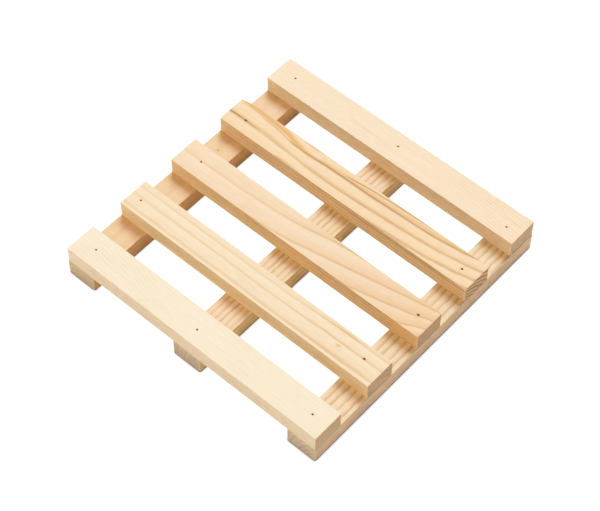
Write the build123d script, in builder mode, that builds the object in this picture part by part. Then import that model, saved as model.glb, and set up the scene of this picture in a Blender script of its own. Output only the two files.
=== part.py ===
"""Small nailed wooden pallet: five deck slats across three flat battens, held by twelve panel pins.

Frame, millimetres: X runs along the slats, Y across them from slat 1 to slat 5, and +Z is up.
The origin is at the bottom centre, on the surface that the battens stand on.
"""

from build123d import *

import os

# Driving dimensions
PALLET_WIDTH = 250.0  # over the outer faces of the two outer battens, along X
PALLET_DEPTH = 254.0  # the battens' length, along Y
SLAT_COUNT = 5
SLAT_LENGTH = 249.0
SLAT_WIDTH = 28.0
SLAT_THICKNESS = 16.0
BATTEN_WIDTH = 27.0
BATTEN_THICKNESS = 16.0
EASED_EDGE = 0.4  # radius sanded on the long edges of every stick
SAWN_EDGE = 0.2  # bevel on the edges of a sawn end

# Panel pins
HEAD_RADIUS = 0.8
HEAD_THICKNESS = 0.6
HEAD_BEVEL = 0.15
SHANK_RADIUS = 0.5
PIN_LENGTH = 25.0
POINT_LENGTH = 2.0
PIN_SET = 0.4  # how far the top of a head is driven below the deck

# Levels
DECK_UNDERSIDE = BATTEN_THICKNESS
DECK_TOP = DECK_UNDERSIDE + SLAT_THICKNESS
HEAD_TOP = DECK_TOP - PIN_SET
HEAD_UNDERSIDE = HEAD_TOP - HEAD_THICKNESS
PIN_TIP = HEAD_TOP - PIN_LENGTH
HOLE_MOUTH = DECK_TOP + HEAD_THICKNESS  # clear above the deck, so that every hole opens

# The sticks are set out by hand, so each sits up to a millimetre off an even spacing
SLAT_PITCH = (PALLET_DEPTH - SLAT_WIDTH) / (SLAT_COUNT - 1)
MIDDLE_SLAT = (SLAT_COUNT + 1) / 2
SLAT_DRIFT = {1: (0.5, 0.0), 2: (0.1, 0.9), 3: (0.2, 0.6), 4: (0.2, 0.4), 5: (0.0, 0.0)}
OUTER_BATTEN_X = (PALLET_WIDTH - BATTEN_WIDTH) / 2
MIDDLE_BATTEN_X = -1.3
BATTEN_X = {"left": -OUTER_BATTEN_X, "middle": MIDDLE_BATTEN_X, "right": OUTER_BATTEN_X}

# Where each pin goes in: how far from the centre lines of its batten and of its slat
PIN_OFFSETS = {
    (1, "left"): (5.0, -0.4),
    (1, "middle"): (0.8, -2.1),
    (1, "right"): (-1.6, 0.1),
    (2, "left"): (-2.4, -1.9),
    (2, "right"): (-4.2, 2.5),
    (3, "left"): (6.4, 0.0),
    (3, "right"): (0.8, 1.9),
    (4, "left"): (4.2, -2.3),
    (4, "right"): (-0.9, -0.8),
    (5, "left"): (4.6, 0.6),
    (5, "middle"): (1.0, 1.7),
    (5, "right"): (0.1, -3.8),
}


def slat_centre(number):
    """The point in plan at the middle of a slat."""
    drift_x, drift_y = SLAT_DRIFT[number]
    return drift_x, (number - MIDDLE_SLAT) * SLAT_PITCH + drift_y


def pin_place(number, batten):
    """The point in plan where a pin is driven."""
    from_batten, from_slat = PIN_OFFSETS[number, batten]
    return BATTEN_X[batten] + from_batten, slat_centre(number)[1] + from_slat


def pin_section(x, y, top):
    """Half of a pin's section beside its axis at (x, y): flat bevelled head, shank and point."""
    with BuildSketch(Plane(origin=(x, y, 0), x_dir=(1, 0, 0), z_dir=(0, -1, 0))) as section:
        with BuildLine():
            Polyline(
                (0, top),
                (HEAD_RADIUS - HEAD_BEVEL, top),
                (HEAD_RADIUS, top - HEAD_BEVEL),
                (HEAD_RADIUS, HEAD_UNDERSIDE),
                (SHANK_RADIUS, HEAD_UNDERSIDE),
                (SHANK_RADIUS, PIN_TIP + POINT_LENGTH),
                (0, PIN_TIP),
                close=True,
            )
        make_face()
    return section.sketch


def pin_axis(x, y):
    """The upright line that a pin is driven along."""
    return Axis((x, y, 0), (0, 0, 1))


def cut_pin_hole(x, y):
    """Open the hole that a pin has punched, its mouth running up through the deck's surface."""
    revolve(pin_section(x, y, HOLE_MOUTH), axis=pin_axis(x, y), mode=Mode.SUBTRACT)


def ease_edges(long_axis):
    """Round the four long edges of a stick, then bevel the edges of its two sawn ends."""
    fillet(edges().filter_by(long_axis), radius=EASED_EDGE)
    ends = faces().filter_by(long_axis)
    chamfer(ends.edges(), length=SAWN_EDGE)


def finish_part(piece, name):
    """Name a finished piece and write it out."""
    piece.part.label = name
    export_step(piece.part, f"parts/{name}.step")


os.makedirs("parts", exist_ok=True)

# Deck slats, planed sticks laid flat across the battens
for number in SLAT_DRIFT:
    centre_x, centre_y = slat_centre(number)
    with BuildPart() as slat:
        with BuildSketch(Plane.XY.offset(DECK_UNDERSIDE)):
            with Locations((centre_x, centre_y)):
                Rectangle(SLAT_LENGTH, SLAT_WIDTH)
        extrude(amount=SLAT_THICKNESS)
        ease_edges(Axis.X)
        for pin_slat, pin_batten in PIN_OFFSETS:
            if pin_slat == number:
                cut_pin_hole(*pin_place(pin_slat, pin_batten))
    finish_part(slat, f"slat_{number}")

# Battens, the same stock laid flat under the deck
for side, batten_x in BATTEN_X.items():
    with BuildPart() as batten:
        with BuildSketch(Plane.XY):
            with Locations((batten_x, 0)):
                Rectangle(BATTEN_WIDTH, PALLET_DEPTH)
        extrude(amount=BATTEN_THICKNESS)
        ease_edges(Axis.Y)
        for pin_slat, pin_batten in PIN_OFFSETS:
            if pin_batten == side:
                cut_pin_hole(*pin_place(pin_slat, pin_batten))
    finish_part(batten, f"batten_{side}")

# Panel pins, one at each place where a slat is fixed
for pin_slat, pin_batten in PIN_OFFSETS:
    pin_x, pin_y = pin_place(pin_slat, pin_batten)
    with BuildPart() as pin:
        revolve(pin_section(pin_x, pin_y, HEAD_TOP), axis=pin_axis(pin_x, pin_y))
    finish_part(pin, f"nail_{pin_slat}_{pin_batten}")
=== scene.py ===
"""Looks for a small nailed pine pallet: five deck slats, three battens and twelve panel pins.

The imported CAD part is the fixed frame. Every stick and every pin is rebuilt on its own CAD solid
with the irregular edges, sawn ends and nail pockets of the real thing, and gets a procedural
material. Blender works in metres; STICKS below describes each stick in millimetres.
"""

import math
import random
from types import SimpleNamespace

import bpy
import numpy as np
from mathutils import Matrix, Vector, noise


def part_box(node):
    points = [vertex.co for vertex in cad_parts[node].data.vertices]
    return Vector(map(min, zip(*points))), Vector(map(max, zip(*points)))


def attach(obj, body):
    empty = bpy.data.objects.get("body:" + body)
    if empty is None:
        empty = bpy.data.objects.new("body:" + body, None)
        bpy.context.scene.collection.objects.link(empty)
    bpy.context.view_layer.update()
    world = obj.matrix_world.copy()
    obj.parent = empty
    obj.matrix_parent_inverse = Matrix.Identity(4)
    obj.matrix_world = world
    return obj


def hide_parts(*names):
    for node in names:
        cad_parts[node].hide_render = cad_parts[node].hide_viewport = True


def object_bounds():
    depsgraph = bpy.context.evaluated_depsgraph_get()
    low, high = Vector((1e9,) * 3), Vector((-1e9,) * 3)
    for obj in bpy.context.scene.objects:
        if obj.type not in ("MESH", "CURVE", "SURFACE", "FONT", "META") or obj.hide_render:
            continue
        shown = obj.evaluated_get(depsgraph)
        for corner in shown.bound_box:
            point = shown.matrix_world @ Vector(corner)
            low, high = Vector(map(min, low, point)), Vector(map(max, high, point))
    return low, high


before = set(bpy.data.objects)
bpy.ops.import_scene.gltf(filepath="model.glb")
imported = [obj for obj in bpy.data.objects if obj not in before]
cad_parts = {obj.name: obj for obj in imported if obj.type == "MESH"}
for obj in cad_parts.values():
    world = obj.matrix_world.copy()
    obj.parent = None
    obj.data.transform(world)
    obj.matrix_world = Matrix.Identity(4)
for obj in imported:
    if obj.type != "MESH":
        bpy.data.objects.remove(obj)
CAD_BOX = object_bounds()
NODES = sorted(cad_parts)
SLATS = [node for node in NODES if node.startswith("slat_")]
NAILS = [node for node in NODES if node.startswith("nail_")]
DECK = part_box("slat_1")[1].z

MM = 0.001

# ---------------------------------------------------------------- the camera, the lights, the floor

# The camera looks down on one corner of the pallet from well back. Lengths are in metres here.
CAMERA_AZIMUTH = math.radians(41.02)  # round from -Y towards +X
CAMERA_ELEVATION = math.radians(54.65)
CAMERA_DISTANCE = 1.4365
CAMERA_ROLL = math.radians(0.52)
CAMERA_AIM = Vector((0.0043, -0.0067, 0.0))  # from the middle of the pallet
CLIP_START = 0.05
CLIP_END = 100.0

# Lens and sensor width, in millimetres
LENS = 113.0
SENSOR = 36.0

# Softboxes aimed at the origin: name, place, size, power in watts, tint
SOFTBOXES = [
    ("key", (-0.5, 1.25, 2.2), (1.7, 1.4), 79.0, (1.0, 0.985, 0.96)),
    ("fill", (-0.3, -1.85, 1.65), (1.8, 1.2), 29.5, (1.0, 0.955, 0.84)),
    ("side", (2.3, -0.4, 0.9), (1.4, 1.0), 4.8, (1.0, 0.96, 0.88)),
]
ROOM = (1.0, 0.93, 0.78)
ROOM_STRENGTH = 0.12

FLOOR_REACH = 40.0
FLOOR_COLOUR = (0.90, 0.865, 0.80)
FLOOR_GLOW = 1.8
GLOW_SHARE = 0.82  # how much of what the camera sees of the floor is its own glow
CONTACT_REACH = 4.0 * MM  # how near to the wood the floor darkens
CONTACT_OPEN = (0.36, 0.80)  # how open the floor is where its glow starts and where it is whole

# The film's curve, as (light, tone)
FILM = [
    (0.0, 0.0), (0.06, 0.050), (0.13, 0.116), (0.20, 0.187), (0.30, 0.290), (0.45, 0.446),
    (0.60, 0.60), (0.77, 0.73), (0.933, 0.839), (1.28, 0.972), (2.0, 1.0),
]
FILM_REACH = 2.0

# ---------------------------------------------------------------- the sticks

# Frame of a stick, in millimetres: s runs along it from its low end, d across it (on a slat from
# its back edge, on a batten from its left edge) and w down from its upper face.
#
# slot         the material slot that the stick fills
# early, late  colours of the pale and of the dark wood of a ring
# line         a growth line on the upper face, as d at stations of s; the others are set out from it
# spacing      how far apart the growth lines are on the upper face, at stations of s
# crowd        how fast the lines close up towards the back edge
# tilt         how far a line moves across for each millimetre of depth
# arch         how strongly the lines curve in the sawn end
# bold         how strongly the lines show, at stations of s
# soft         the part of each ring that darkens before its outer line
# sharp        the part of the next ring over which the line fades again
# haze         how far the wood of a ring darkens towards its outer line
# ends         how strongly the rings show in the sawn ends
# cut          tint of the sawn ends: end grain's own darker colour, partly painted light and shade
# sides        tint of the two long sides: partly the wood's own cut, partly painted light and shade
# side_rings   how strongly the rings show in the long sides
# uneven       how much one line differs from the next
# ripple       how quickly the grain wavers along the stick, and how far
# warm         how warm the tone is, at stations of s
# strokes      extra streaks, each with its path (d at stations of s), its half width, its strength
#              (fade, at stations of s), its colour and the share of its half width that is flat (firm)
# spots        small brown marks: s, d, reach along, reach across, strength
# nicks        worn places on an upper long edge: s, edge (0 front or right, 1 back or left), size,
#              reach along

AMBER = (0.62, 0.33, 0.11)
RESIN = (0.62, 0.322, 0.115)
BARK = (0.25, 0.125, 0.042)
BURR = (0.93, 0.76, 0.55)
# painted shade: the tint of the shadow that each slat casts on a batten's top beside its foot
SLAT_SHADOW_TINT = (1.03, 1.05, 0.77)
# painted shade: the darkening at a batten's foot, where it meets the floor
FOOT_SHADE_TINT = (0.84, 0.86, 0.90)

STICKS = {
    "slat_1": dict(
        slot="pine_cream",
        early=(0.920, 0.706, 0.510),
        late=(0.800, 0.562, 0.355),
        line=[(0, 1.0), (50, 9.0), (85, 16.0), (142, 17.0), (180, 22.0), (249, 26.0)],
        spacing=[(0, 3.2), (249, 2.6)],
        crowd=0.0,
        tilt=-0.9,
        arch=0.02,
        bold=[(0, 0.10), (48, 0.40), (85, 0.30), (120, 0.15), (150, 0.30), (185, 0.25), (249, 0.12)],
        soft=0.45,
        sharp=0.25,
        haze=0.15,
        ends=0.15,
        cut=(0.74, 0.70, 0.65),
        sides=(0.98, 0.98, 1.05),
        side_rings=0.5,
        uneven=0.2,
        ripple=(0.06, 0.9),
        warm=[(0, 0.5), (249, 0.5)],
        strokes=[],
        spots=[],
        nicks=[],
    ),
    "slat_2": dict(
        slot="pine_straw",
        early=(0.885, 0.628, 0.430),
        late=(0.612, 0.357, 0.185),
        line=[(0, 14.0), (140, 14.0), (180, 13.1), (205, 12.3), (249, 12.2)],
        spacing=[(0, 9.2), (140, 9.3), (205, 10.0), (249, 9.9)],
        crowd=0.13,
        tilt=1.8,
        arch=0.030,
        bold=[(0, 0.57), (70, 0.58), (140, 0.60), (208, 0.88), (249, 0.62)],
        soft=0.24,
        sharp=0.13,
        haze=0.20,
        ends=0.35,
        cut=(0.76, 0.757, 0.744),
        sides=(0.94, 1.03, 0.96),
        side_rings=0.4,
        uneven=0.3,
        ripple=(0.06, 0.9),
        warm=[(0, 0.5), (249, 0.5)],
        strokes=[
            dict(path=[(195, 3.7), (208, 2.9), (220, 3.0)], half=0.75,
                 fade=[(193, 0.0), (206, 0.8), (222, 0.0)], colour=AMBER),
        ],
        spots=[(210, 15.2, 2.4, 1.1, 0.8)],
        nicks=[(49, 1, 1.5, 1.6)],
    ),
    "slat_3": dict(
        slot="pine_peach",
        early=(0.862, 0.578, 0.396),
        late=(0.572, 0.322, 0.165),
        line=[(0, 30.5), (60, 29.5), (106, 26.6), (140, 21.0), (185, 12.8), (215, 6.6), (249, 0.4)],
        spacing=[(0, 16.6), (140, 16.3), (185, 14.0), (215, 13.0), (249, 9.0)],
        crowd=0.0,
        tilt=3.0,
        arch=0.045,
        bold=[(0, 0.40), (90, 0.52), (125, 0.78), (200, 0.92), (249, 0.85)],
        soft=0.17,
        sharp=0.08,
        haze=0.45,
        ends=0.20,
        cut=(0.78, 0.87, 0.94),
        sides=(0.93, 0.98, 0.81),
        side_rings=0.4,
        uneven=0.2,
        ripple=(0.06, 0.9),
        warm=[(0, 0.35), (120, 0.5), (249, 0.95)],
        strokes=[],
        spots=[],
        nicks=[(203, 1, 1.9, 1.6)],
    ),
    "slat_4": dict(
        slot="pine_amber",
        early=(0.868, 0.569, 0.362),
        late=(0.480, 0.252, 0.110),
        line=[(0, 16.7), (30, 16.7), (60, 18.0), (100, 20.0), (130, 19.3), (165, 17.5), (200, 15.3),
              (225, 12.0), (249, 7.3)],
        spacing=[(0, 14.2), (50, 13.0), (72, 9.0), (100, 11.3), (165, 10.4), (249, 9.8)],
        crowd=0.0,
        tilt=2.2,
        arch=0.035,
        bold=[(0, 0.70), (60, 0.75), (120, 0.95), (249, 0.90)],
        soft=0.34,
        sharp=0.20,
        haze=0.15,
        ends=1.0,
        cut=(0.85, 0.88, 0.91),
        sides=(0.92, 1.01, 0.96),
        side_rings=0.45,
        uneven=0.3,
        ripple=(0.06, 0.9),
        warm=[(0, 0.7), (70, 0.55), (249, 0.5)],
        strokes=[
            dict(path=[(0, 16.6), (30, 16.6)], half=0.75,
                 fade=[(0, 0.9), (18, 0.7), (34, 0.0)], colour=BARK),
            dict(path=[(4, 0.8), (30, 2.5), (46, 3.6), (58, 5.6), (68, 7.8), (78, 9.6)], half=1.7,
                 firm=0.2, fade=[(2, 0.3), (14, 0.85), (60, 0.95), (70, 0.7), (84, 0.0)], colour=RESIN),
            dict(path=[(90, 7.4), (140, 5.6), (180, 3.6), (220, 1.4)], half=1.5, firm=0.3,
                 fade=[(84, 0.0), (110, 0.4), (190, 0.4), (228, 0.0)], colour=RESIN),
            dict(path=[(24, 5.0), (44, 6.6), (60, 9.2), (70, 9.8)], half=0.42,
                 fade=[(22, 0.0), (34, 0.6), (58, 0.8), (66, 0.0)], colour=BARK),
            dict(path=[(58, 9.7), (100, 8.6), (140, 7.9), (180, 6.6), (220, 3.6), (240, 0.0)], half=0.58,
                 fade=[(56, 0.0), (66, 0.6), (82, 0.7), (110, 0.88), (150, 0.68), (200, 0.55), (240, 0.7)],
                 colour=BARK),
            dict(path=[(110, 39.0), (200, 37.5), (249, 36.0)], half=1.5,
                 fade=[(100, 0.0), (160, 0.4), (249, 0.65)], colour=BARK),
            dict(path=[(116, 5.2), (143, 2.8), (186, 0.4)], half=0.55,
                 fade=[(112, 0.0), (124, 0.8), (188, 0.8)], colour=BARK),
        ],
        spots=[],
        nicks=[(-1, 1, 4.2, 7.0)],
    ),
    "slat_5": dict(
        slot="pine_pale",
        early=(0.886, 0.607, 0.428),
        late=(0.752, 0.475, 0.285),
        line=[(0, 12.0), (125, 12.5), (200, 13.5), (249, 18.0)],
        spacing=[(0, 3.0), (249, 2.7)],
        crowd=0.0,
        tilt=1.1,
        arch=0.02,
        bold=[(0, 0.20), (125, 0.35), (190, 0.60), (249, 0.80)],
        soft=0.5,
        sharp=0.30,
        haze=0.10,
        ends=0.15,
        cut=(0.78, 0.82, 0.81),
        sides=(0.88, 0.98, 0.92),
        side_rings=0.5,
        uneven=0.3,
        ripple=(0.06, 0.9),
        warm=[(0, 0.6), (249, 0.45)],
        strokes=[
            dict(path=[(78, 15.8), (95, 16.2), (112, 15.6)], half=0.7,
                 fade=[(76, 0.0), (88, 0.35), (114, 0.0)], colour=AMBER),
        ],
        spots=[],
        nicks=[],
    ),
    "batten_left": dict(
        slot="batten_plain",
        early=(0.820, 0.528, 0.345),
        late=(0.655, 0.380, 0.205),
        line=[(0, 10.0), (120, 14.0), (254, 11.0)],
        spacing=[(0, 11.0), (254, 13.0)],
        crowd=0.0,
        tilt=2.4,
        arch=0.03,
        bold=[(0, 0.25), (254, 0.25)],
        soft=0.6,
        sharp=0.35,
        haze=0.2,
        ends=0.8,
        cut=(0.82, 1.01, 1.14),
        sides=(0.97, 1.01, 0.86),
        side_rings=0.5,
        uneven=0.3,
        ripple=(0.10, 3.0),
        warm=[(0, 0.6), (254, 0.5)],
        strokes=[],
        spots=[(154, 13.0, 1.3, 1.2, 0.9)],
        nicks=[],
    ),
    "batten_middle": dict(
        slot="batten_striped",
        early=(0.880, 0.612, 0.420),
        late=(0.520, 0.285, 0.140),
        line=[(0, 14.8), (130, 14.6), (254, 16.4)],
        spacing=[(0, 4.7), (254, 5.2)],
        crowd=0.0,
        tilt=0.35,
        arch=0.035,
        bold=[(0, 0.85), (254, 0.90)],
        soft=0.46,
        sharp=0.26,
        haze=0.15,
        ends=0.2,
        cut=(0.75, 0.87, 1.03),
        sides=(1.10, 1.28, 1.15),
        side_rings=0.3,
        uneven=0.55,
        ripple=(0.12, 2.8),
        warm=[(0, 0.5), (254, 0.5)],
        strokes=[],
        spots=[],
        nicks=[],
    ),
    "batten_right": dict(
        slot="batten_ringed",
        early=(0.890, 0.642, 0.445),
        late=(0.530, 0.300, 0.152),
        line=[(0, 16.0), (70, 17.2), (130, 16.6), (254, 15.2)],
        spacing=[(0, 6.2), (130, 5.9), (254, 5.2)],
        crowd=0.0,
        tilt=0.8,
        arch=0.04,
        bold=[(0, 0.85), (254, 0.85)],
        soft=0.46,
        sharp=0.24,
        haze=0.15,
        ends=0.2,
        cut=(0.78, 0.88, 1.03),
        sides=(0.97, 1.02, 1.08),
        side_rings=0.35,
        uneven=0.55,
        ripple=(0.12, 2.8),
        warm=[(0, 0.5), (254, 0.5)],
        strokes=[],
        spots=[],
        nicks=[],
    ),
}
NAIL_SLOT = "nail_steel"

# How a stick is milled and worn
CORNER_RADIUS = 0.4
CORNER_STEPS = 6
CORNER_WOBBLE = 0.30  # how much the radius varies along an edge
WOBBLE_PACE = 0.045
CORNER_APART = 7.1  # far enough for the four edges to vary on their own
END_BEVEL = 0.2
END_RINGS = (0.93, 0.78, 0.58, 0.36, 0.15)  # rings that close a sawn end inside its bevel
STATION_STEP = 1.5
FACE_STEP = 1.2
FACE_WAVE = 0.07  # how far the planed faces fall inside the true size
WAVE_PACE = (0.03, 0.09)  # along and across
END_WAVE = 0.09  # how far the sawn ends do
FRAY_PACE = 0.8
DINGS = 7
DING_SIZE = (0.15, 0.5)
DING_REACH = (0.8, 2.2)
SHARP_ANGLE = math.radians(38)

# Pins: their pockets in the deck, and their own profile, as (radius, depth below the deck).
# Over some pins the fibres have sprung back and half closed the pocket.
OPEN_PINS = ("nail_2_right", "nail_3_right", "nail_4_left", "nail_4_right")
OPEN_MOUTH = 0.90
OPEN_POCKET = [(0.95, -0.6), (OPEN_MOUTH, -0.02), (0.85, 0.08), (0.83, 0.25), (0.83, 1.04), (0.54, 1.10)]
CLOSED_MOUTH = 0.73
CLOSED_POCKET = [
    (0.76, -0.6), (CLOSED_MOUTH, -0.02), (0.67, 0.08), (0.68, 0.22), (0.83, 0.38), (0.83, 1.04),
    (0.54, 1.10),
]
POCKET_WOBBLE = 0.10
WOBBLE_ROUND = 1.4  # how often a pocket's radius varies round it
BORE_TIP = 0.03
BORE_PAST_PIN = 0.05
PIN_HEAD = [
    (0.33, 0.47), (0.58, 0.43), (0.71, 0.42), (0.78, 0.48), (0.79, 0.58), (0.79, 0.90), (0.74, 0.98),
    (0.50, 1.00),
]
PIN_BARBS = 4
BARB_PITCH = 0.8
BARB_STEP = 0.3  # the share of a pitch that each barb's underside takes
BARB_ROOT = 0.45
SHANK = 0.49
POINT = 2.0
PIN_POINT = [(SHANK, 1.0), (0.33, 0.55), (0.10, 0.1), (0.02, 0.0)]  # radius, share of the point below
TURNS = 40

# The hammer's mark in a pin's head
HEAD_FACE = 0.52  # how far below the deck the mark reaches
STRIKE_OFF = 0.35  # how far off the middle it may lie
STRIKE_DEPTH = 0.05
STRIKE_SPREAD = 0.35

# ---------------------------------------------------------------- patterns


class Field:
    """A number that varies over a surface. Arithmetic on fields makes Math nodes."""

    def __init__(self, pattern, socket):
        self.pattern = pattern
        self.socket = socket

    def __add__(self, other):
        return self.pattern.math("ADD", self, other)

    def __sub__(self, other):
        return self.pattern.math("SUBTRACT", self, other)

    def __rsub__(self, other):
        return self.pattern.math("SUBTRACT", other, self)

    def __mul__(self, other):
        return self.pattern.math("MULTIPLY", self, other)

    def __truediv__(self, other):
        return self.pattern.math("DIVIDE", self, other)

    __radd__ = __add__
    __rmul__ = __mul__


class Pattern:
    """The node tree of one material, with the sums behind its pattern written as arithmetic."""

    def __init__(self, name):
        self.material = bpy.data.materials.new(name)
        self.material.use_nodes = True
        self.tree = self.material.node_tree
        self.tree.nodes.clear()

    def node(self, kind, inputs, **settings):
        """A node with its settings made and its inputs set or linked."""
        made = self.tree.nodes.new(kind)
        for key, value in settings.items():
            setattr(made, key, value)
        for key, value in inputs.items():
            if isinstance(value, Field):
                self.tree.links.new(value.socket, made.inputs[key])
            else:
                made.inputs[key].default_value = value
        return made

    def math(self, operation, a, b=0.0, clamp=False):
        made = self.node("ShaderNodeMath", {0: a, 1: b}, operation=operation, use_clamp=clamp)
        return Field(self, made.outputs[0])

    def place(self):
        """The three object coordinates, in millimetres."""
        coordinates = self.node("ShaderNodeTexCoord", {})
        split = self.node("ShaderNodeSeparateXYZ", {0: Field(self, coordinates.outputs["Object"])})
        return [Field(self, out) / MM for out in split.outputs]

    def point(self, x, y, z):
        return Field(self, self.node("ShaderNodeCombineXYZ", {0: x, 1: y, 2: z}).outputs[0])

    def noise(self, x, y, z, detail=2.0, roughness=0.5):
        """Smooth random values about zero, from -0.5 to 0.5."""
        made = self.node(
            "ShaderNodeTexNoise",
            {"Vector": self.point(x, y, z), "Scale": 1.0, "Detail": detail, "Roughness": roughness},
        )
        return Field(self, made.outputs[0]) - 0.5

    def cells(self, x, y, z):
        """How far a point is from the nearest of many scattered centres."""
        made = self.node("ShaderNodeTexVoronoi", {"Vector": self.point(x, y, z), "Scale": 1.0})
        return Field(self, made.outputs["Distance"])

    def chance(self, value):
        """A random value from 0 to 1, the same wherever value is the same."""
        made = self.node("ShaderNodeTexWhiteNoise", {"W": value}, noise_dimensions="1D")
        return Field(self, made.outputs["Value"])

    def step(self, value, low, high):
        """0 below low, 1 above high and smooth between."""
        made = self.node(
            "ShaderNodeMapRange",
            {0: value, 1: low, 2: high, 3: 0.0, 4: 1.0},
            interpolation_type="SMOOTHSTEP",
            clamp=True,
        )
        return Field(self, made.outputs[0])

    def curve(self, x, length, stations):
        """A smooth curve through stations along a length."""
        heights = [value for _, value in stations]
        low, span = min(heights), max(max(heights) - min(heights), 1e-6)
        made = self.node("ShaderNodeFloatCurve", {"Value": x / length})
        points = made.mapping.curves[0].points
        while len(points) < len(stations):
            points.new(0.5, 0.5)
        for point, (place, value) in zip(points, stations):
            point.location = (place / length, (value - low) / span)
            point.handle_type = "AUTO_CLAMPED"
        made.mapping.update()
        return Field(self, made.outputs[0]) * span + low

    def mix(self, amount, a, b, blend="MIX"):
        """Colour a turning into colour b."""
        made = self.node(
            "ShaderNodeMix", {0: amount, 6: colour(a), 7: colour(b)}, data_type="RGBA", blend_type=blend
        )
        return Field(self, made.outputs[2])

    def finish(self, base, roughness, height, depth, **sockets):
        """The Principled shader: pattern colour, pattern roughness and a bump of that depth."""
        bump = self.node("ShaderNodeBump", {"Height": height, "Distance": depth, "Strength": 1.0})
        shader = self.node(
            "ShaderNodeBsdfPrincipled",
            {"Base Color": base, "Roughness": roughness, "Normal": Field(self, bump.outputs[0])},
        )
        for key, value in sockets.items():
            shader.inputs[key.replace("_", " ")].default_value = value
        out = self.node("ShaderNodeOutputMaterial", {})
        self.tree.links.new(shader.outputs[0], out.inputs[0])
        return self.material


def colour(value):
    """A colour with its alpha, where value is a plain colour."""
    return value if isinstance(value, Field) else (*value, 1.0)


# ---------------------------------------------------------------- wood

# Patterns in pine: how fast each changes along and across the fibres, for each millimetre
WANDER = (0.013, 0.05)
STREAK = (0.010, 0.55)
FIBRE = (0.045, 3.1)
CELL = (0.35, 11.0)
BLOTCH = (0.022, 0.07)
MOTTLE = (0.14, 0.42)
CANAL = (0.16, 3.4)
DRIFT = (0.028, 0.04)
PORE = (0.2, 5.5)
RIPPLE_ACROSS = 0.25
SAW_LINE = (0.05, 1.5, 0.12)  # along, across and down
SAW_LEAN = 0.3  # how far a saw line runs across for each millimetre down

# How far a growth line wanders and how far it is ragged, in millimetres
WANDER_SWING = 1.4
FIBRE_SWING = 0.9

# How much each pattern sways the tone, and how much more it sways green and blue
STREAK_TONE = 0.17
FIBRE_TONE = 0.15
CELL_TONE = 0.10
BLOTCH_TONE = 0.22
MOTTLE_TONE = 0.14
SIDE_MOTTLE_TONE = 0.12  # more of it on the long sides
GREEN_SWAY = 1.25
BLUE_SWAY = 1.6
SAW_SWAY = (0.09, 0.10, 0.11)  # the same for saw lines, in red, green and blue

# How strongly other colours are mixed in
YEARLY_MIX = 0.10
CANAL_MIX = 0.22
STROKE_MIX = 0.92
BURR_MIX = 0.45
PORE_MIX = 0.08
STAIN_MIX = 0.25
RIM_MIX = 0.85

WHITE = (1.0, 1.0, 1.0)
WARMER = (0.95, 0.86, 0.76)
CRUSHED = (0.17, 0.092, 0.040)
DARK_RING = (0.62, 0.52, 0.45)  # share of the tint that a ring's line leaves in a sawn end

# Where a pattern starts to count and where it counts in full
CANAL_STEP = (0.235, 0.30)
PORE_STEP = (0.10, 0.45)
HAZE_STEP = (0.15, 1.0)
WARM_STEP = (0.45, 1.35)
SPOT_STEP = (0.15, 1.4)

# Places, in millimetres: how far in from an end or a long side its skin is whole and has gone
END_SKIN = (0.12, 0.30)
SIDE_SKIN = (0.15, 0.45)
BURR_FROM_END = (0.3, 1.1)
BURR_FROM_SIDE = (0.4, 1.0)
SPOT_DEPTH = (1.0, 2.5)
SHADE_REACH = 9.0  # how far from a slat the painted shade on a batten's top reaches, where the slat's shadow falls
SHADE_DEPTH = (0.5, 3.0)
FOOT = (12.5, 16.5)  # how far down a batten its painted shade towards the foot starts, and where it is whole

# Round a pin, as shares of the radius of its pocket's mouth
STAIN = (0.8, 2.2)
RIM = (0.90, 1.15)
STAIN_ALONG = 0.80  # below 1, so that the mark is longer along the fibres

GRAIN_RELIEF = 0.05 * MM
CHATTER_PITCH = 2.3  # between the planer's marks


def pins_in(name):
    """The pins that go through a stick, each with the middle of its CAD box."""
    kind, which = name.split("_")
    mark = f"nail_{which}_" if kind == "slat" else f"_{which}"
    return [(node, sum(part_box(node), Vector()) / 2) for node in NAILS if mark in node]


def stick_frame(name):
    """Where a stick's own frame starts, its axes (along, across) and its size in millimetres."""
    low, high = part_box(name)
    size = (high - low) / MM
    if size.x > size.y:
        return dict(low=low, high=high, along=0, across=1, length=size.x, width=size.y, flip=True)
    return dict(low=low, high=high, along=1, across=0, length=size.y, width=size.x, flip=False)


def in_frame(place, stick):
    """A point's s and d, from its place in metres."""
    s = (place[stick["along"]] - stick["low"][stick["along"]]) / MM
    if stick["flip"]:
        return s, (stick["high"][stick["across"]] - place[stick["across"]]) / MM
    return s, (place[stick["across"]] - stick["low"][stick["across"]]) / MM


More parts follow.
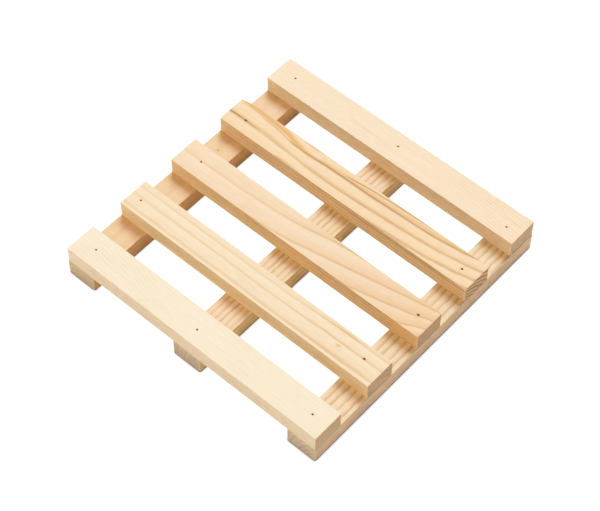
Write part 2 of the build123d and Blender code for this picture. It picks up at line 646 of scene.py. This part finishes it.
def grain(p, stick, look, seed):
    """Where a point is in the stick's frame, and the patterns that run through the stick there."""
    place = p.place()
    s = place[stick["along"]] - stick["low"][stick["along"]] / MM
    if stick["flip"]:
        d = stick["high"][stick["across"]] / MM - place[stick["across"]]
    else:
        d = place[stick["across"]] - stick["low"][stick["across"]] / MM
    w = stick["high"].z / MM - place[2]

    # Growth lines lean with depth, and they wander and waver along the stick
    lean = w * look["tilt"] + w * (d - stick["width"] / 2) * look["arch"]
    wander = p.noise(s * WANDER[0] + seed, d * WANDER[1], w * WANDER[1], detail=1.0) * WANDER_SWING
    pace, swing = look["ripple"]
    ripple = p.noise(s * pace, d * RIPPLE_ACROSS + seed, w * RIPPLE_ACROSS, detail=2.0) * swing
    across = d + wander + ripple + lean

    # Fibres, from broad streaks to single cells, blotches and dark resin canals
    streak = p.noise(s * STREAK[0], across * STREAK[1], w * STREAK[1] + seed, detail=3.0, roughness=0.6)
    fibre = p.noise(s * FIBRE[0], across * FIBRE[1] + seed, w * FIBRE[1], detail=4.0, roughness=0.65)
    cell = p.noise(s * CELL[0], across * CELL[1], w * CELL[1] + seed, detail=2.0, roughness=0.6)
    blotch = p.noise(s * BLOTCH[0] + seed, d * BLOTCH[1], w * BLOTCH[1], detail=3.0, roughness=0.55)
    mottle = p.noise(s * MOTTLE[0], d * MOTTLE[1] + seed, w * MOTTLE[1], detail=2.0, roughness=0.6)
    canal = p.noise(s * CANAL[0], across * CANAL[1], w * CANAL[1] - seed, detail=0.0)

    # The sawn ends, where the cells are cut across, and the long sides
    from_end = p.math("MINIMUM", s, stick["length"] - s)
    from_side = p.math("MINIMUM", d, stick["width"] - d)
    saw_d = (d - w * SAW_LEAN) * SAW_LINE[1]
    saw_line = p.noise(s * SAW_LINE[0], saw_d, w * SAW_LINE[2] + seed, detail=2.0, roughness=0.7)
    return SimpleNamespace(
        s=s,
        d=d,
        w=w,
        across=across,
        streak=streak,
        fibre=fibre,
        cell=cell,
        blotch=blotch,
        mottle=mottle,
        canal=p.step(canal, *CANAL_STEP),
        from_end=from_end,
        from_side=from_side,
        sawn=1.0 - p.step(from_end, *END_SKIN),
        side=1.0 - p.step(from_side, *SIDE_SKIN),
        pore=p.step(p.cells(s * PORE[0], d * PORE[1], w * PORE[1]), *PORE_STEP),
        saw_line=saw_line,
    )


def grow_rings(p, g, stick, look, seed):
    """Growth rings: each darkens slowly to its outer line, and the next starts pale."""
    spacing = p.curve(g.s, stick["length"], look["spacing"])
    line = p.curve(g.s, stick["length"], look["line"])
    rings = (g.across + g.fibre * FIBRE_SWING - line) / spacing
    if look["crowd"]:
        rings = rings * (1.0 - rings * look["crowd"])
    g.ring = p.math("FLOOR", rings)
    g.into = rings - g.ring
    g.bold = p.curve(g.s, stick["length"], look["bold"])
    before = p.math("POWER", p.step(g.into, 1.0 - look["soft"], 1.0), 1.2)
    after = 1.0 - p.step(g.into, 0.0, look["sharp"])
    each = p.chance(g.ring + seed * 3.7) * look["uneven"] + (1.0 - look["uneven"])
    drift = p.noise(g.s * DRIFT[0], g.ring * 5.3 + seed, g.w * DRIFT[1], detail=3.0, roughness=0.6)
    line_tone = p.math("MAXIMUM", before, after) * each * (drift * 1.1 + 1.0)
    late = p.math("MULTIPLY", line_tone, g.bold, clamp=True)
    # The long sides are cut at another angle to the rings than the faces
    g.late = late * (1.0 - g.side * (1.0 - look["side_rings"]))


def wood_tones(p, g, stick, look, seed):
    """The colour of planed wood: its rings, warmth, fibres and canals."""
    base = p.mix(g.late * (1.0 - g.sawn * (1.0 - look["ends"])), look["early"], look["late"])
    haze = p.step(g.into, *HAZE_STEP) * (g.bold * look["haze"])
    yearly = p.chance(g.ring + seed * 1.9) * (g.bold * YEARLY_MIX)
    base = p.mix(haze + yearly, base, look["late"])
    warmth = p.curve(g.s, stick["length"], look["warm"]) + g.blotch * 1.6
    base = p.mix(p.step(warmth, *WARM_STEP), base, WARMER, blend="MULTIPLY")
    tone = g.streak * STREAK_TONE + g.fibre * FIBRE_TONE + g.cell * CELL_TONE + g.blotch * BLOTCH_TONE
    tone = tone + g.mottle * (g.side * SIDE_MOTTLE_TONE + MOTTLE_TONE)
    sway = p.point(tone + 1.0, tone * GREEN_SWAY + 1.0, tone * BLUE_SWAY + 1.0)
    base = p.mix(1.0, base, sway, blend="MULTIPLY")
    return p.mix(g.canal * CANAL_MIX, base, look["late"])


def add_marks(p, g, base, stick, look):
    """Single streaks and small brown marks."""
    for stroke in look["strokes"]:
        off = p.math("ABSOLUTE", g.across - p.curve(g.s, stick["length"], stroke["path"]))
        inside = 1.0 - p.step(off, stroke["half"] * stroke.get("firm", 0.0), stroke["half"] * 2)
        strength = p.curve(g.s, stick["length"], stroke["fade"])
        amount = p.math("MULTIPLY", inside, strength, clamp=True)
        base = p.mix(amount * STROKE_MIX, base, stroke["colour"])
    for spot_s, spot_d, long, wide, strength in look["spots"]:
        far = p.math("POWER", (g.s - spot_s) / long, 2.0) + p.math("POWER", (g.d - spot_d) / wide, 2.0)
        inside = (1.0 - p.step(far + g.blotch * 1.5, *SPOT_STEP)) * (1.0 - p.step(g.w, *SPOT_DEPTH))
        base = p.mix(inside * strength, base, AMBER)
    return base


def paint_batten_shade(p, g, base, stick):
    """Painted shade on a batten: a tint beside the slats that stand on it, where their shadows fall, and a
    darkening towards its foot, where it meets the floor.
    """
    for node in SLATS:
        low, high = (in_frame(corner, stick)[0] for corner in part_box(node))
        beside = p.math("ABSOLUTE", g.s - (low + high) / 2) - (high - low) / 2
        # painted shade where the slat's shadow falls on the batten's top
        near = 1.0 - p.step(beside + g.streak * 3.0, 0.0, SHADE_REACH)
        shaded = near * (1.0 - p.step(g.w, *SHADE_DEPTH)) * (1.0 - g.side)
        base = p.mix(shaded, base, SLAT_SHADOW_TINT, blend="MULTIPLY")
    # painted shade, darker towards the batten's foot
    return p.mix(p.step(g.w + g.mottle * 4.0, *FOOT), base, FOOT_SHADE_TINT, blend="MULTIPLY")


def saw_ends(p, g, base, look):
    """Each sawn end: pale broken fibres along its corners, a darker face (partly end grain's own colour,
    partly painted light and shade), dark rings and open pores.
    """
    near_end = 1.0 - p.step(g.from_end + g.fibre * 0.8, *BURR_FROM_END)
    burr = near_end * (1.0 - p.step(g.from_side, *BURR_FROM_SIDE))
    base = p.mix(burr * BURR_MIX, base, BURR)
    dark_ring = [tint * share for tint, share in zip(look["cut"], DARK_RING)]
    # the sawn ends' tint: end grain's own colour, partly painted light and shade
    cut = p.mix(g.late * look["ends"], look["cut"], dark_ring)
    cut = p.mix(g.pore * PORE_MIX, cut, WHITE)
    sway = p.point(*(g.saw_line * share + 1.0 for share in SAW_SWAY))
    cut = p.mix(1.0, cut, sway, blend="MULTIPLY")
    return p.mix(g.sawn, base, cut, blend="MULTIPLY")


def crush_round_pins(p, g, base, stick, name):
    """Crushed and stained wood round each pin in a slat."""
    dark = 0.0
    for node, centre in pins_in(name):
        pin_s, pin_d = in_frame(centre, stick)
        mouth = OPEN_MOUTH if node in OPEN_PINS else CLOSED_MOUTH
        along = p.math("POWER", (g.s - pin_s) * STAIN_ALONG, 2.0)
        aside = p.math("POWER", g.d - pin_d, 2.0)
        far = p.math("SQRT", along + aside)
        stain = (1.0 - p.step(far + g.fibre * 1.2, mouth * STAIN[0], mouth * STAIN[1])) * STAIN_MIX
        rim = (1.0 - p.step(far, mouth * RIM[0], mouth * RIM[1])) * RIM_MIX
        dark = p.math("MAXIMUM", dark, p.math("MAXIMUM", stain, rim))
    return p.mix(dark, base, CRUSHED)


def pine(name, look, seed):
    """Planed pine: growth rings through the whole stick, fibres, resin canals and sawn ends."""
    stick = stick_frame(name)
    p = Pattern(look["slot"])
    g = grain(p, stick, look, seed)
    grow_rings(p, g, stick, look, seed)
    base = wood_tones(p, g, stick, look, seed)
    base = add_marks(p, g, base, stick, look)
    # the long sides' tint: partly the wood's own cut, partly painted light and shade
    base = p.mix(g.side, base, look["sides"], blend="MULTIPLY")
    if name.startswith("batten"):
        base = paint_batten_shade(p, g, base, stick)
    base = saw_ends(p, g, base, look)
    if name.startswith("slat"):
        base = crush_round_pins(p, g, base, stick, name)

    # Surface: polished late wood, rough sawn ends, fibres and saw marks in relief
    roughness = g.fibre * 0.16 + g.blotch * 0.10 - g.late * 0.07 + g.sawn * 0.24 + 0.56
    chatter = p.math("SINE", g.s * (2 * math.pi / CHATTER_PITCH) + g.blotch * 4.0) * 0.10
    planed = g.fibre * 0.9 + g.cell * 0.6 + g.late * 0.45 + chatter - g.canal * 0.35
    rough = g.saw_line * 1.8 - g.pore * 0.5 + g.late * 0.6
    height = planed * (1.0 - g.sawn) + rough * g.sawn
    return p.finish(base, roughness, height, GRAIN_RELIEF, Specular_IOR_Level=0.30)


STEEL = (0.085, 0.050, 0.025)
RUST = (0.066, 0.033, 0.014)
SCRATCHED = (0.125, 0.090, 0.058)
STEEL_RELIEF = 0.03 * MM
PATCH_PACE = 1.1
PIT_PACE = 4.0


def steel():
    """A panel pin's steel: drawn, hammered and a little oxidised."""
    p = Pattern(NAIL_SLOT)
    x, y, z = p.place()
    patch = p.noise(x * PATCH_PACE, y * PATCH_PACE, z * PATCH_PACE, detail=4.0, roughness=0.6)
    scratch = p.noise(x * 9.0 + y * 2.0, y * 1.3, z * 3.0, detail=3.0, roughness=0.7)
    pit = p.step(p.cells(x * PIT_PACE, y * PIT_PACE, z * PIT_PACE), 0.05, 0.40)
    rust = p.step(patch, 0.02, 0.22)
    base = p.mix(rust * 0.65, STEEL, RUST)
    base = p.mix(p.step(scratch, 0.05, 0.30) * 0.30, base, SCRATCHED)
    roughness = patch * 0.3 + scratch * 0.12 + rust * 0.18 + 0.60
    height = scratch * 0.5 + pit * 0.6 + patch * 0.8
    return p.finish(base, roughness, height, STEEL_RELIEF, Metallic=0.5, Specular_IOR_Level=0.15)


# ---------------------------------------------------------------- shapes


def new_piece(name, vertices, faces):
    """A mesh object in the row frame, in metres."""
    mesh = bpy.data.meshes.new(name)
    mesh.from_pydata([tuple(v) for v in vertices], [], faces)
    mesh.validate()
    mesh.update()
    made = bpy.data.objects.new(name, mesh)
    bpy.context.scene.collection.objects.link(made)
    return made


def section(width, depth, radii):
    """Points round a stick's section about its middle and which way each of them faces.
    radii are at the (+,+), (-,+), (-,-) and (+,-) corners."""
    points, facing = [], []
    signs = [(1, 1), (-1, 1), (-1, -1), (1, -1)]
    for i, (sx, sy) in enumerate(signs):
        centre = (sx * (width / 2 - radii[i]), sy * (depth / 2 - radii[i]))
        for k in range(CORNER_STEPS + 1):
            turn = math.pi / 2 * (i + k / CORNER_STEPS)
            facing.append((math.cos(turn), math.sin(turn)))
            points.append((centre[0] + radii[i] * facing[-1][0], centre[1] + radii[i] * facing[-1][1]))
        nx, ny = signs[(i + 1) % 4]
        radius = radii[(i + 1) % 4]
        away = (0, sy) if i % 2 == 0 else (sx, 0)
        start = points[-1]
        if i % 2 == 0:
            end = (nx * (width / 2 - radius), sy * depth / 2)
            steps = round(width / FACE_STEP)
        else:
            end = (sx * width / 2, ny * (depth / 2 - radius))
            steps = round(depth / FACE_STEP)
        for k in range(1, steps):
            share = k / steps
            points.append((start[0] + (end[0] - start[0]) * share, start[1] + (end[1] - start[1]) * share))
            facing.append(away)
    return np.array(points), np.array(facing)


def stick_rings(length, width, depth, nicks, seed):
    """Rings of points along a stick, each as (s, across, up) about its middle line."""
    dice = random.Random(seed)
    dings = [
        (dice.uniform(0, length), dice.randrange(4), dice.uniform(*DING_SIZE), dice.uniform(*DING_REACH))
        for _ in range(DINGS)
    ]
    dings += [(s, edge, size - CORNER_RADIUS, reach) for s, edge, size, reach in nicks]
    count = round((length - 2 * END_BEVEL) / STATION_STEP)
    stations = [END_BEVEL + (length - 2 * END_BEVEL) * k / count for k in range(count + 1)]
    # A sawn end is its bevel's inner edge, then rings closing in on the middle
    bevel = 1.0 - END_BEVEL / (np.array([width, depth]) / 2)
    closing = [bevel] + [np.array([share, share]) for share in END_RINGS]
    plan = [(0.0, scale) for scale in reversed(closing)]
    plan += [(s, None) for s in stations]
    plan += [(length, scale) for scale in closing]
    rings = []
    for s, scale in plan:
        radii = []
        for corner in range(4):
            wobble = noise.noise(Vector((s * WOBBLE_PACE, corner * CORNER_APART, seed)))
            radius = CORNER_RADIUS * (1.0 + CORNER_WOBBLE * wobble)
            for where, which, size, reach in dings:
                if which == corner:
                    radius += size * math.exp(-(((s - where) / reach) ** 2))
            radii.append(radius)
        points, facing = section(width, depth, radii)
        wave = [
            0.5 + 0.5 * noise.noise(Vector((s * WAVE_PACE[0] + seed, x * WAVE_PACE[1], y * WAVE_PACE[1])))
            for x, y in points
        ]
        points = points - facing * (FACE_WAVE * np.array(wave))[:, None]
        if scale is None:
            along = np.full(len(points), s)
        else:
            points = points * scale
            fray = [
                0.5 + 0.5 * noise.noise(Vector((x * FRAY_PACE, y * FRAY_PACE, seed + s)))
                for x, y in points
            ]
            inward = END_WAVE * np.array(fray)
            along = inward if s == 0.0 else length - inward
        rings.append(np.column_stack([along, points]))
    return rings


def ring_faces(count, size, first_centre, last_centre):
    """Quads between rings of the same size, closed by a fan at each end."""
    faces = []
    for r in range(count - 1):
        for k in range(size):
            a, b = r * size + k, r * size + (k + 1) % size
            faces.append((a, b, b + size, a + size))
    last = (count - 1) * size
    for k in range(size):
        faces.append((first_centre, (k + 1) % size, k))
        faces.append((last_centre, last + k, last + (k + 1) % size))
    return faces


def lathe(name, profile, place, wobble, seed):
    """A closed turned solid: profile is (radius, depth below place) from the top down. Its radius
    varies round it by the share wobble."""
    vertices, rows = [], []
    top, bottom = profile[0][1], profile[-1][1]
    for radius, down in profile:
        row = []
        for k in range(TURNS):
            turn = 2 * math.pi * k / TURNS
            x, y = math.cos(turn), math.sin(turn)
            out = radius * (1.0 + wobble * noise.noise(Vector((x * WOBBLE_ROUND, y * WOBBLE_ROUND, seed))))
            row.append(len(vertices))
            vertices.append(place + Vector((out * x, out * y, -down)) * MM)
        rows.append(row)
    centre_top, centre_bottom = len(vertices), len(vertices) + 1
    vertices += [place + Vector((0, 0, -top)) * MM, place + Vector((0, 0, -bottom)) * MM]
    faces = []
    for upper, lower in zip(rows, rows[1:]):
        for k in range(TURNS):
            n = (k + 1) % TURNS
            faces.append((upper[k], lower[k], lower[n], upper[n]))
    for k in range(TURNS):
        n = (k + 1) % TURNS
        faces.append((centre_top, rows[0][k], rows[0][n]))
        faces.append((centre_bottom, rows[-1][n], rows[-1][k]))
    return new_piece(name, vertices, faces)


def bore(piece, cutters):
    """Cut turned solids out of a piece."""
    for cutter in cutters:
        cut = piece.modifiers.new("bore", "BOOLEAN")
        cut.operation = "DIFFERENCE"
        cut.solver = "EXACT"
        cut.object = cutter
    graph = bpy.context.evaluated_depsgraph_get()
    mesh = bpy.data.meshes.new_from_object(piece.evaluated_get(graph))
    mesh.name = piece.name
    piece.modifiers.clear()
    piece.data = mesh
    for cutter in cutters:
        bpy.data.objects.remove(cutter)


def shade(piece, material):
    """Smooth faces with crisp edges, in one material."""
    piece.data.materials.clear()
    piece.data.materials.append(material)
    piece.data.polygons.foreach_set("use_smooth", [True] * len(piece.data.polygons))
    piece.data.set_sharp_from_angle(angle=SHARP_ANGLE)


def make_stick(name, look, seed):
    """A slat or a batten, with the holes that its pins have punched."""
    stick = stick_frame(name)
    low, high = stick["low"], stick["high"]
    depth = (high.z - low.z) / MM
    rings = stick_rings(stick["length"], stick["width"], depth, look["nicks"], seed)
    middle = (low + high) / 2
    vertices = []
    for row in np.vstack(rings):
        place = Vector(middle)
        place[stick["along"]] = low[stick["along"]] + row[0] * MM
        # Across is mirrored on a slat so that corner 0 is always the front or the right
        place[stick["across"]] += (-row[1] if stick["flip"] else row[1]) * MM
        place.z += row[2] * MM
        vertices.append(place)
    for end in (0, -1):
        vertices.append(sum((vertices[i] for i in ring_index(rings, end)), Vector()) / len(rings[0]))
    first = len(vertices) - 2
    faces = ring_faces(len(rings), len(rings[0]), first, first + 1)
    piece = new_piece(f"pine_{name}", vertices, faces)
    cutters = []
    for number, (node, centre) in enumerate(pins_in(name)):
        tip = (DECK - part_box(node)[0].z) / MM
        pocket = OPEN_POCKET if node in OPEN_PINS else CLOSED_POCKET
        # Below the pocket the bore clears the shank, and closes just past the tip
        profile = pocket + [(pocket[-1][0], tip - POINT), (BORE_TIP, tip + BORE_PAST_PIN)]
        place = Vector((centre.x, centre.y, DECK))
        cutters.append(lathe(f"bore_{number}", profile, place, POCKET_WOBBLE, seed + number))
    bore(piece, cutters)
    shade(piece, pine(name, look, seed))
    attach(piece, "root")
    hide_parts(name)
    return piece


def ring_index(rings, end):
    """The numbers of the points in the first or the last ring."""
    size = len(rings[0])
    start = 0 if end == 0 else (len(rings) - 1) * size
    return range(start, start + size)


def make_pin(node, material, seed):
    """A panel pin: struck head, grip barbs under it, drawn shank and a cut point."""
    low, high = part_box(node)
    centre = (low + high) / 2
    tip = (DECK - low.z) / MM
    profile = list(PIN_HEAD)
    start = profile[-1][1]
    for k in range(PIN_BARBS):
        profile.append((BARB_ROOT, start + BARB_PITCH * (k + BARB_STEP)))
        profile.append((SHANK, start + BARB_PITCH * (k + 1)))
    profile += [(radius, tip - POINT * share) for radius, share in PIN_POINT]
    piece = lathe(node.replace("nail", "pin"), profile, Vector((centre.x, centre.y, DECK)), 0.0, seed)
    dice = random.Random(seed)
    strike = Vector((dice.uniform(-STRIKE_OFF, STRIKE_OFF), dice.uniform(-STRIKE_OFF, STRIKE_OFF)))
    for vertex in piece.data.vertices:
        down = (DECK - vertex.co.z) / MM
        if down < HEAD_FACE:
            off = (vertex.co.xy - centre.xy) / MM - strike
            vertex.co.z -= STRIKE_DEPTH * math.exp(-off.length_squared / STRIKE_SPREAD) * MM
    shade(piece, material)
    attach(piece, "root")
    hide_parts(node)
    return piece


for seed, (name, look) in enumerate(STICKS.items(), 1):
    make_stick(name, look, seed)
pin_steel = steel()
for seed, node in enumerate(NAILS, 1):
    make_pin(node, pin_steel, seed)

# ---------------------------------------------------------------- stage


def make_floor():
    """A wide pale floor. What the camera sees of it is nearly shadowless, like a lit studio sweep."""
    corners = [(-1, -1), (1, -1), (1, 1), (-1, 1)]
    floor = new_piece("floor", [(x * FLOOR_REACH, y * FLOOR_REACH, 0) for x, y in corners], [(0, 1, 2, 3)])
    p = Pattern("floor_white")
    lit = p.node("ShaderNodeBsdfDiffuse", {"Color": colour(FLOOR_COLOUR)})
    # Where wood hems the floor in, its glow fades: a painted contact shadow, the thin dark line where wood
    # meets floor, so that the pallet stands on it
    around = p.node("ShaderNodeAmbientOcclusion", {"Distance": CONTACT_REACH}, samples=16)
    clear = p.step(Field(p, around.outputs["AO"]), *CONTACT_OPEN)
    glow = p.node("ShaderNodeEmission", {"Color": colour(WHITE), "Strength": clear * FLOOR_GLOW})
    seen = p.node("ShaderNodeLightPath", {})
    share = Field(p, seen.outputs["Is Camera Ray"]) * GLOW_SHARE
    both = {0: share, 1: Field(p, lit.outputs[0]), 2: Field(p, glow.outputs[0])}
    mixed = p.node("ShaderNodeMixShader", both)
    out = p.node("ShaderNodeOutputMaterial", {})
    p.tree.links.new(mixed.outputs[0], out.inputs[0])
    floor.data.materials.append(p.material)


def make_light(name, place, size, power, tint):
    """A rectangular softbox, aimed at the origin."""
    light = bpy.data.lights.new(name, "AREA")
    light.shape = "RECTANGLE"
    light.size, light.size_y = size
    light.energy = power
    light.color = tint
    made = bpy.data.objects.new(name, light)
    made.location = place
    made.rotation_euler = (-Vector(place)).to_track_quat("-Z", "Y").to_euler()
    bpy.context.scene.collection.objects.link(made)


def make_camera():
    """The photographer's camera, a little rolled."""
    low, high = CAD_BOX
    aim = (low + high) / 2 + CAMERA_AIM
    flat = math.cos(CAMERA_ELEVATION)
    back = Vector((
        math.sin(CAMERA_AZIMUTH) * flat,
        -math.cos(CAMERA_AZIMUTH) * flat,
        math.sin(CAMERA_ELEVATION),
    ))
    level = Vector((0, 0, 1)).cross(back).normalized()
    upright = back.cross(level)
    right = level * math.cos(CAMERA_ROLL) + upright * math.sin(CAMERA_ROLL)
    up = back.cross(right)
    data = bpy.data.cameras.new("camera")
    data.lens = LENS
    data.sensor_width = SENSOR
    data.sensor_fit = "HORIZONTAL"
    data.clip_start = CLIP_START
    data.clip_end = CLIP_END
    made = bpy.data.objects.new("camera", data)
    turned = Matrix((right, up, back)).transposed().to_4x4()
    made.matrix_world = Matrix.Translation(aim + back * CAMERA_DISTANCE) @ turned
    bpy.context.scene.collection.objects.link(made)
    bpy.context.scene.camera = made


def make_world():
    """A dim, warm room round the softboxes."""
    world = bpy.data.worlds.new("studio")
    world.use_nodes = True
    background = world.node_tree.nodes["Background"]
    background.inputs["Color"].default_value = colour(ROOM)
    background.inputs["Strength"].default_value = ROOM_STRENGTH
    bpy.context.scene.world = world


def set_film_curve():
    """Shadows deepen a little and highlights roll off softly before white, as on film."""
    view = bpy.context.scene.view_settings
    view.view_transform = "Standard"
    view.look = "None"
    view.use_curve_mapping = True
    mapping = view.curve_mapping
    mapping.clip_max_x = FILM_REACH
    points = mapping.curves[3].points  # the curve for all three colours together
    while len(points) < len(FILM):
        points.new(1.0, 1.0)
    for point, place in zip(points, FILM):
        point.location = place
    mapping.update()


make_floor()
for softbox in SOFTBOXES:
    make_light(*softbox)
make_world()
make_camera()
set_film_curve()
